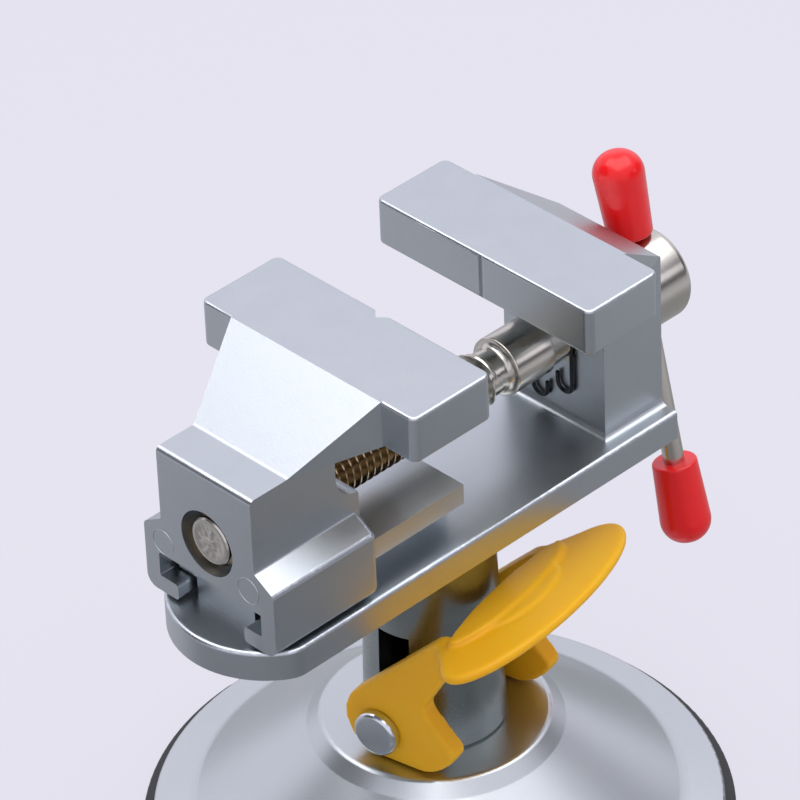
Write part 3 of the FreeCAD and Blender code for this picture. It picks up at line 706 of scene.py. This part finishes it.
@dataclass
class TurnedScrew(Piece):
    """The lead screw: shank and head as turned, with a true helical thread in front."""

    axis_height: float = 69.5           # millimetres, as are all sizes here
    tip: float = -39.2
    tip_middle: float = 0.78            # radius of the tip's sunk middle against the root's
    tip_recess: float = 0.1             # how far that middle is sunk
    tip_rings: int = 9
    tip_rim: tuple[Span, ...] = ((0.02, 0.8), (0.0, 0.9), (0.04, 1.0))  # behind, against root
    rough_reach: Span = (0.15, 0.75)    # behind the tip, and radius against the root's
    rough_height: float = 0.12
    rough_scale: float = 1700.0
    lead_start: float = 0.25            # plain lead in front of the thread, behind the tip
    lead_end: float = 0.6
    lead_rise: float = 0.2              # above the root
    lead_slope: float = 0.4             # length over which it falls to the root
    core_steps: int = 64
    join_gap: float = 0.02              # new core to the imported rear
    thread_radius: float = 4.0
    thread_depth: float = 0.72
    thread_end: float = 11.75
    pitch: float = 1.25
    steps_per_turn: int = 40
    crest_width: float = 0.2
    foot_width: float = 0.95
    sunk_share: float = 0.1             # share of the depth by which the ridge's foot is sunk
    runout: float = 1.0                 # plain length behind the last turn
    fade: Ramp = (0.0, 0.02, 0.1, 1.0)  # share of the thread's length to share of its depth
    brown_reflection_span: Span = (-38.9, -8.0)         # span of the painted brown reflection on the thread, from and to, along the axis
    smooth_angle: float = 32.0          # degrees

    @property
    def finish(self) -> Finish:
        """Bright plated steel, darker where it is threaded, with a painted brown reflection there."""
        return THREADED

    @property
    def body(self) -> Body:
        """The screw's own body."""
        return Body.SCREW

    @property
    def nodes(self) -> tuple[str, ...]:
        """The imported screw."""
        return ("lead_screw",)

    def shape(self) -> bpy.types.Object:
        """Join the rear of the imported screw, a new core and the thread.

        Returns:
            The screw's object.
        """
        piece = merged_copy("lead_screw", "lead_screw_turned")
        made = bmesh.new()
        made.from_mesh(piece.data)
        cut = bmesh.ops.bisect_plane(
            made, geom=made.verts[:] + made.edges[:] + made.faces[:],
            plane_co=((self.thread_end + self.join_gap) * MM, 0, 0), plane_no=(1, 0, 0),
            clear_inner=True)
        rim = [e for e in cut["geom_cut"] if isinstance(e, bmesh.types.BMEdge)]
        bmesh.ops.edgeloop_fill(made, edges=rim)
        self.add_core(made)
        thread = self.thread()
        made.from_mesh(thread.data)
        bmesh.ops.recalc_face_normals(made, faces=made.faces)
        for face in made.faces:
            face.smooth = True
        mesh = piece.data
        made.to_mesh(mesh)
        made.free()
        bpy.data.objects.remove(thread)
        mesh.set_sharp_from_angle(angle=math.radians(self.smooth_angle))
        # the threaded length is marked for the painted brown reflection
        low, high = self.brown_reflection_span
        mask = mesh.attributes.new("edge", "FLOAT", "FACE")
        mask.data.foreach_set("value", [
            1.0 if low * MM < face.center.x < high * MM else 0.0 for face in mesh.polygons])
        return piece

    def add_core(self, made: bmesh.types.BMesh) -> None:
        """Spin the thread's core with its rough tip and the plain lead behind it.

        Args:
            made: the mesh that the core joins.
        """
        root = self.thread_radius - self.thread_depth
        end = self.thread_end + self.join_gap
        outline = [(self.tip + self.tip_recess, root * self.tip_middle * ring / self.tip_rings)
                   for ring in range(self.tip_rings)]
        outline += [(self.tip + behind, root * share) for behind, share in self.tip_rim]
        outline += [
            (self.tip + self.lead_start, root + self.lead_rise),
            (self.tip + self.lead_end, root + self.lead_rise),
            (self.tip + self.lead_end + self.lead_slope, root),
            (self.brown_reflection_span[1], root),
            (end, root),
            (end, 0.0),
        ]
        points = [made.verts.new((x * MM, 0, (self.axis_height + r) * MM)) for x, r in outline]
        edges = [made.edges.new(pair) for pair in zip(points, points[1:])]
        bmesh.ops.spin(
            made, geom=points + edges, cent=(0, 0, self.axis_height * MM), axis=(1, 0, 0),
            angle=math.tau, steps=self.core_steps, use_merge=True)
        bmesh.ops.remove_doubles(made, verts=made.verts, dist=MERGE_GAP / 2 * MM)
        axis = Vector((0, 0, self.axis_height * MM))
        behind, share = self.rough_reach
        for vert in made.verts:
            off_axis = (vert.co - axis).yz.length
            if vert.co.x < (self.tip + behind) * MM and off_axis < root * share * MM:
                vert.co.x += self.rough_height * MM * noise.noise(vert.co * self.rough_scale)

    def thread(self) -> bpy.types.Object:
        """Lay the thread's ridge along a helix with geometry nodes.

        Returns:
            An object whose plain mesh is the ridge.
        """
        name = "thread_ridge"
        piece = bpy.data.objects.new(name, bpy.data.meshes.new(name))
        bpy.context.scene.collection.objects.link(piece)
        tree = self.thread_tree()
        laid = piece.modifiers.new("thread", "NODES")
        laid.node_group = tree
        start = self.tip + self.lead_end
        values = {
            "Root": (self.thread_radius - self.thread_depth) * MM,
            "Pitch": self.pitch * MM,
            "Turns": (self.thread_end - start - self.runout) / self.pitch,
            "Depth": self.thread_depth * MM,
            "Crest": self.crest_width * MM,
            "Foot": self.foot_width * MM,
            "Steps": self.steps_per_turn,
            "Start": (start * MM, 0.0, self.axis_height * MM),
        }
        sockets = {item.name: item.identifier for item in tree.interface.items_tree}
        for key, value in values.items():
            laid[sockets[key]] = value
        return baked(piece)

    def thread_tree(self) -> bpy.types.NodeTree:
        """Bend a grid four points wide into a V ridge on a helix along X, by geometry nodes.

        Returns:
            The geometry node tree.
        """
        inner, outer = 1 / 6, 0.5       # places of the grid's four points on its short side
        tree = bpy.data.node_groups.new("thread_ridge", "GeometryNodeTree")
        tree.interface.new_socket("Geometry", in_out="OUTPUT",
                                  socket_type="NodeSocketGeometry")
        kinds = {"Steps": "NodeSocketInt", "Start": "NodeSocketVector"}
        for key in ("Root", "Pitch", "Turns", "Depth", "Crest", "Foot", "Steps", "Start"):
            tree.interface.new_socket(key, in_out="INPUT",
                                      socket_type=kinds.get(key, "NodeSocketFloat"))
        graph = Graph(tree)
        given = graph.add("NodeGroupInput").outputs
        rows = graph.maths("MULTIPLY_ADD", given["Steps"], given["Turns"], 1.0)
        grid = graph.add("GeometryNodeMeshGrid", {
            "Size X": 1.0, "Size Y": 1.0, "Vertices X": rows, "Vertices Y": 4}).outputs[0]
        at = graph.add("ShaderNodeSeparateXYZ", {
            0: graph.add("GeometryNodeInputPosition").outputs[0]}).outputs
        progress = graph.maths("ADD", at[0], 0.5)
        off_middle = graph.maths("ABSOLUTE", at[1])
        ends = graph.maths("MINIMUM", progress, graph.maths("SUBTRACT", 1.0, progress))
        depth = graph.maths("MULTIPLY", given["Depth"],
                            graph.spread(ends, *self.fade, smooth=True))
        crest = graph.maths("ADD", given["Root"], depth)
        sunk = graph.maths("MULTIPLY_ADD", given["Depth"], -self.sunk_share, given["Root"])
        radius = graph.spread(off_middle, inner, outer, crest, sunk)
        half_crest = graph.maths("MULTIPLY", given["Crest"], 0.5)
        half_foot = graph.maths("MULTIPLY", given["Foot"], 0.5)
        aside = graph.maths("MULTIPLY", graph.maths("SIGN", at[1]),
                            graph.spread(off_middle, inner, outer, half_crest, half_foot))
        turns = graph.maths("MULTIPLY", progress, given["Turns"])
        angle = graph.maths("MULTIPLY", turns, math.tau)
        ridge = graph.add("GeometryNodeSetPosition", {
            "Geometry": grid, "Position": graph.add("ShaderNodeCombineXYZ", {
                0: graph.maths("MULTIPLY_ADD", turns, given["Pitch"], aside),
                1: graph.maths("MULTIPLY", graph.maths("COSINE", angle), radius),
                2: graph.maths("MULTIPLY", graph.maths("SINE", angle), radius)}).outputs[0]})
        moved = graph.add("GeometryNodeTransform", {
            "Geometry": ridge.outputs[0], "Translation": given["Start"]})
        real = graph.add("GeometryNodeRealizeInstances", {"Geometry": moved.outputs[0]})
        coat = graph.add("GeometryNodeSetMaterial", {
            "Geometry": real.outputs[0], "Material": self.wardrobe.material(self.finish)})
        graph.add("NodeGroupOutput", {0: coat.outputs[0]})
        return tree


@dataclass
class Studio:
    """Plain pale floor, soft light and the camera."""

    camera_place: Direction = (-0.4544, -0.4798, 0.5500)    # metres, as are all lengths here
    camera_right: Direction = (0.7116, -0.7017, -0.0343)
    camera_up: Direction = (0.4318, 0.3983, 0.8093)
    camera_back: Direction = (-0.5542, -0.5907, 0.5865)
    lens: float = 275.66                            # millimetres, as is the sensor's width
    sensor_width: float = 36.0
    clip: Span = (0.05, 20.0)
    backdrop: Colour = srgb(234, 232, 245)
    shaded_side: Direction = (0.68, -0.73, 0.0)
    rearward: Direction = (0.71, 0.71, 0.0)
    dim_side: Direction = (-0.749, 0.549, 0.370)
    slit: Direction = (0.583, -0.757, 0.296)        # towards a narrow bright light

    floor_reach: float = 3.0
    floor_glow: float = 0.78                        # the floor's own light where it is seen
    mirrored_glow: float = 0.1
    floor_seen: Colour = (0.60, 0.60, 0.62)
    floor_lit: Colour = (0.25, 0.253, 0.263)        # what the floor mirrors back, open side
    floor_shaded: Colour = (0.15, 0.157, 0.156)     # the same, on the shaded side
    floor_side: Ramp = (-0.06, 0.08, 0.0, 1.0)      # distance towards the shade to its share
    floor_rear: Ramp = (-0.05, 0.01, 0.85, 1.9)     # distance rearward to mirrored strength
    floor_far: Ramp = (0.13, 0.24, 0.0, 1.0)        # distance to share of the plain tone

    sky_matt: float = 0.6                           # the world's strength on matt surfaces
    sky_side: Ramp = (0.55, 0.9, 0.0, 1.0)          # turn towards the shade to its share
    sky_low: Ramp = (0.35, 0.6, 1.0, 0.0)           # rise above the horizon to its share
    sky_dark: Ramp = (0.0, 1.0, 1.2, 0.15)          # both shares to mirrored strength
    sky_dim: Ramp = (0.86, 0.95, 1.0, 0.12)         # turn towards the dim side to strength
    sky_slit: Ramp = (0.988, 0.996, 0.0, 1.6)       # turn towards the slit to strength

    panel_height: float = 0.72
    panel_radiance: float = 1.92
    panels: tuple[tuple[float, float, float, float], ...] = (       # ends along X, along Y
        (-0.40, 0.13, -0.40, 0.62),
        (0.13, 0.62, -0.45, 0.20),
    )

    def build(self) -> None:
        """Make everything that isn't the vise."""
        self.camera()
        self.floor()
        self.world()
        for number, panel in enumerate(self.panels):
            self.lamp("overhead_panel_%d" % number, *panel)
        bpy.context.scene.view_settings.view_transform = "Standard"

    def camera(self) -> None:
        """Set the camera at its place with its own axes."""
        data = bpy.data.cameras.new("camera")
        data.lens = self.lens
        data.sensor_width = self.sensor_width
        data.clip_start, data.clip_end = self.clip
        camera = bpy.data.objects.new("camera", data)
        bpy.context.scene.collection.objects.link(camera)
        axes = Matrix((self.camera_right, self.camera_up, self.camera_back)).transposed()
        camera.matrix_world = Matrix.Translation(self.camera_place) @ axes.to_4x4()
        bpy.context.scene.camera = camera

    def floor(self) -> None:
        """Lay a pale floor that keeps the vise's shadow."""
        mesh = bpy.data.meshes.new("floor")
        reach = self.floor_reach
        corners = [(-reach, -reach, 0), (reach, -reach, 0), (reach, reach, 0), (-reach, reach, 0)]
        mesh.from_pydata(corners, [], [(0, 1, 2, 3)])
        floor = bpy.data.objects.new("floor", mesh)
        bpy.context.scene.collection.objects.link(floor)
        material = bpy.data.materials.new("pale_floor")
        material.use_nodes = True
        graph = Graph(material.node_tree)
        material.node_tree.nodes.remove(material.node_tree.nodes["Principled BSDF"])
        seen, glossy = self.rays(graph)
        place = graph.add("ShaderNodeTexCoord").outputs["Object"]
        side = graph.spread(self.along(graph, place, self.shaded_side), *self.floor_side,
                            smooth=True)
        rear = graph.spread(self.along(graph, place, self.rearward), *self.floor_rear,
                            smooth=True)
        distance = graph.add("ShaderNodeVectorMath", {0: place}, operation="LENGTH")
        far = graph.spread(distance.outputs["Value"], *self.floor_far, smooth=True)
        near = graph.blend(side, self.floor_lit, self.floor_shaded)
        near = graph.add("ShaderNodeVectorMath", {0: near, "Scale": rear}, operation="SCALE")
        mirrored = graph.blend(far, near.outputs[0], self.floor_seen)
        colour = graph.blend(glossy, self.floor_seen, mirrored)
        matt = graph.add("ShaderNodeBsdfDiffuse", {"Color": colour})
        plain = graph.add("ShaderNodeEmission", {"Color": (*self.backdrop, 1.0),
                                                 "Strength": 1.0})
        share = graph.maths("MAXIMUM", graph.maths("MULTIPLY", seen, self.floor_glow),
                            graph.maths("MULTIPLY", glossy, self.mirrored_glow))
        mixed = graph.add("ShaderNodeMixShader", {0: share, 1: matt.outputs[0],
                                                  2: plain.outputs[0]})
        out = material.node_tree.nodes["Material Output"]
        graph.tree.links.new(mixed.outputs[0], out.inputs["Surface"])
        mesh.materials.append(material)

    @staticmethod
    def rays(graph: Graph) -> Sockets:
        """Tell the rays that look at a surface straight from those that mirror it.

        Args:
            graph: the tree's graph.

        Returns:
            A mask of camera and transmission rays, and a mask of glossy rays.
        """
        ray = graph.add("ShaderNodeLightPath").outputs
        return (graph.maths("MAXIMUM", ray["Is Camera Ray"], ray["Is Transmission Ray"]),
                ray["Is Glossy Ray"])

    @staticmethod
    def along(graph: Graph, vector: bpy.types.NodeSocket,
              direction: Direction) -> bpy.types.NodeSocket:
        """Measure a vector along a direction.

        Args:
            graph: the tree's graph.
            vector: a place or a direction.
            direction: the direction that it is measured along.

        Returns:
            The socket of the dot product.
        """
        node = graph.add("ShaderNodeVectorMath", {0: vector, 1: direction},
                         operation="DOT_PRODUCT")
        return node.outputs["Value"]

    def world(self) -> None:
        """Even soft light from all round, with darker zones and a slit in mirrored views."""
        world = bpy.data.worlds.new("studio")
        bpy.context.scene.world = world
        world.use_nodes = True
        graph = Graph(world.node_tree)
        seen, glossy = self.rays(graph)
        direction = graph.add("ShaderNodeTexCoord").outputs["Generated"]
        side = graph.spread(self.along(graph, direction, self.shaded_side), *self.sky_side,
                            smooth=True)
        rise = graph.add("ShaderNodeSeparateXYZ", {0: direction}).outputs[2]
        low = graph.spread(rise, *self.sky_low, smooth=True)
        dark = graph.spread(graph.maths("MULTIPLY", side, low), *self.sky_dark)
        dim = graph.spread(self.along(graph, direction, self.dim_side), *self.sky_dim,
                           smooth=True)
        slit = graph.spread(self.along(graph, direction, self.slit), *self.sky_slit,
                            smooth=True)
        mirrored = graph.maths("MULTIPLY_ADD", dark, dim, slit)
        strength = graph.add("ShaderNodeMix", {
            0: glossy, 2: self.sky_matt, 3: mirrored}).outputs[0]
        plain = graph.add("ShaderNodeMix", {0: seen, 2: strength, 3: 1.0}).outputs[0]
        ground = world.node_tree.nodes["Background"]
        ground.inputs["Color"].default_value = (*self.backdrop, 1.0)
        graph.tree.links.new(plain, ground.inputs["Strength"])

    def lamp(self, name: str, x_low: float, x_high: float, y_low: float, y_high: float) -> None:
        """Hang one soft rectangular panel that faces straight down.

        Args:
            name: the lamp's name.
            x_low: its low end along X, in metres.
            x_high: its high end along X.
            y_low: its low end along Y.
            y_high: its high end along Y.
        """
        data = bpy.data.lights.new(name, "AREA")
        data.shape = "RECTANGLE"
        data.size = x_high - x_low
        data.size_y = y_high - y_low
        data.energy = math.pi * self.panel_radiance * data.size * data.size_y
        lamp = bpy.data.objects.new(name, data)
        bpy.context.scene.collection.objects.link(lamp)
        middle = ((x_low + x_high) / 2, (y_low + y_high) / 2, self.panel_height)
        lamp.matrix_world = Matrix.Translation(middle)


@dataclass
class CarriedNodes:
    """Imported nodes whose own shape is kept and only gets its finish."""

    wardrobe: Wardrobe
    finishes: dict[str, Finish] = field(default_factory=lambda: {
        "post_nut": ZINC, "nut_washer": ZINC, "bed_screw": ZINC, "bed_lock_washer": ZINC,
        "pull_stud": ZINC, "stud_plate": ZINC, "return_spring": SPRING, "pin_push_nut": SPRING,
        "screw_clip": BLACK, "lever_pin": PIN, "tommy_bar": PLATED, "tommy_cap_upper": VINYL,
        "tommy_cap_lower": VINYL, "post_column": POST, "base_cap": PRESSING,
        "suction_cup": RUBBER,
    })

    def build(self) -> None:
        """Put each node's material in its slot."""
        for name, finish in self.finishes.items():
            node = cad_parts[name]
            node.material_slots[0].material = self.wardrobe.material(finish)
            LOG.info("%s: kept, %s", name, finish.slot.value)


def main() -> None:
    """Build the studio, then every piece in order."""
    logging.basicConfig(level=logging.INFO, format="%(message)s")
    wardrobe = Wardrobe()
    Studio().build()
    pieces = [
        SoftenedSolid(wardrobe, node="bed_and_fixed_jaw", name="bed_and_fixed_jaw_cast"),
        MovingJaw(wardrobe, node="moving_jaw", name="moving_jaw_cast",
                  carrier=Body.MOVING_JAW),
        MouldedLever(wardrobe),
        TurnedScrew(wardrobe),
    ]
    for piece in pieces:
        piece.build()
    CarriedNodes(wardrobe).build()


if __name__ == "__main__":
    main()
